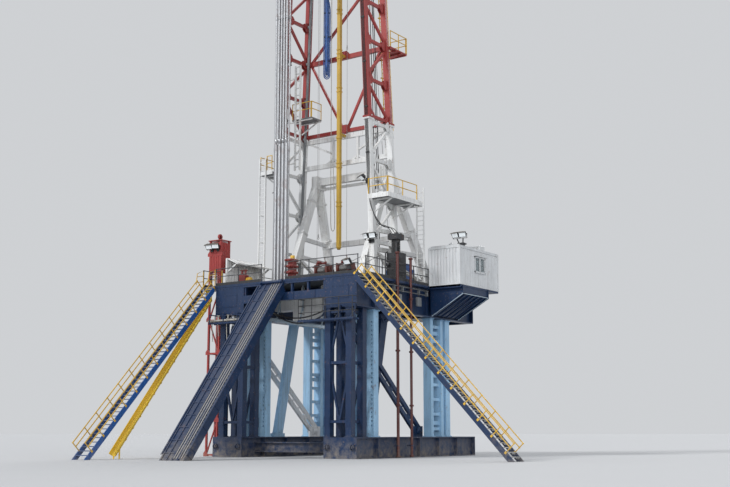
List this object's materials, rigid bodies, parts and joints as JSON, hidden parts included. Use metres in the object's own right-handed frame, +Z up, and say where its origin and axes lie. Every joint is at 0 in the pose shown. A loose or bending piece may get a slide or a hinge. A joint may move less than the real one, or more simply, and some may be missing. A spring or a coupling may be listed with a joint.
{
  "type": "oil drilling rig, 1:2 scale model",
  "caption": "Land drilling rig: raised floor on legs and skids, open-fronted lattice mast with crown and hoisting gear, A-frames, pipe ramp, stairs, slide and a doghouse.",
  "frame": {"origin": "middle of the outline on the ground", "axes": "+Z up, +X towards the doghouse side, -Y towards the pipe ramp"},
  "size_m": [11.161, 11.711, 29.795],
  "materials": {
    "navy_steel": "satin",
    "sky_steel": "satin",
    "white_steel": "satin",
    "red_steel": "satin",
    "yellow_steel": "satin",
    "blue_steel": "satin",
    "grey_steel": "satin",
    "deck_steel": "worn, chequered",
    "bare_steel": "worn",
    "brown_steel": "satin",
    "pale_sheet": "corrugated sheet",
    "window_glass": "clear",
    "hose_rubber": "matt"
  },
  "bodies": {
    "root": {"base_skids": "navy_steel", "base_cross_beams": "navy_steel", "front_towers": "navy_steel", "front_legs": "sky_steel", "rear_legs": "sky_steel", "side_braces": "sky_steel", "upper_boxes": "navy_steel", "floor_beams": "navy_steel", "front_beam": "navy_steel", "under_floor_boxes": "white_steel", "deck_machine": "grey_steel", "floor_plate": "deck_steel", "rotary_table": "bare_steel", "drawworks": "blue_steel", "mast_left_lower": "white_steel", "mast_left_middle": "red_steel", "mast_left_upper": "white_steel", "mast_right_lower": "white_steel", "mast_right_middle": "red_steel", "mast_right_upper": "white_steel", "mast_back_lower": "white_steel", "mast_back_middle": "red_steel", "mast_back_upper": "white_steel", "crown_block": "red_steel", "crown_sheaves": "bare_steel", "racking_board": "grey_steel", "guide_rail": "yellow_steel", "travelling_block": "yellow_steel", "drilling_lines": "bare_steel", "service_hose": "hose_rubber", "standpipe": "grey_steel", "a_frames": "white_steel", "a_frame_beams": "white_steel", "access_platforms": "grey_steel", "ladders": "yellow_steel", "racked_pipes": "bare_steel", "pipe_ramp": "navy_steel", "stair_left_treads": "bare_steel", "stair_left_frame": "blue_steel", "stair_right_treads": "bare_steel", "stair_right_frame": "navy_steel", "escape_slide": "yellow_steel", "railings": "yellow_steel", "doghouse_walls": "pale_sheet", "doghouse_roof": "pale_sheet", "doghouse_floor": "grey_steel", "doghouse_bracket": "navy_steel", "doghouse_window": "window_glass", "hoist_tower": "red_steel", "wind_wall": "white_steel", "winches": "brown_steel"}
  },
  "joints": []
}
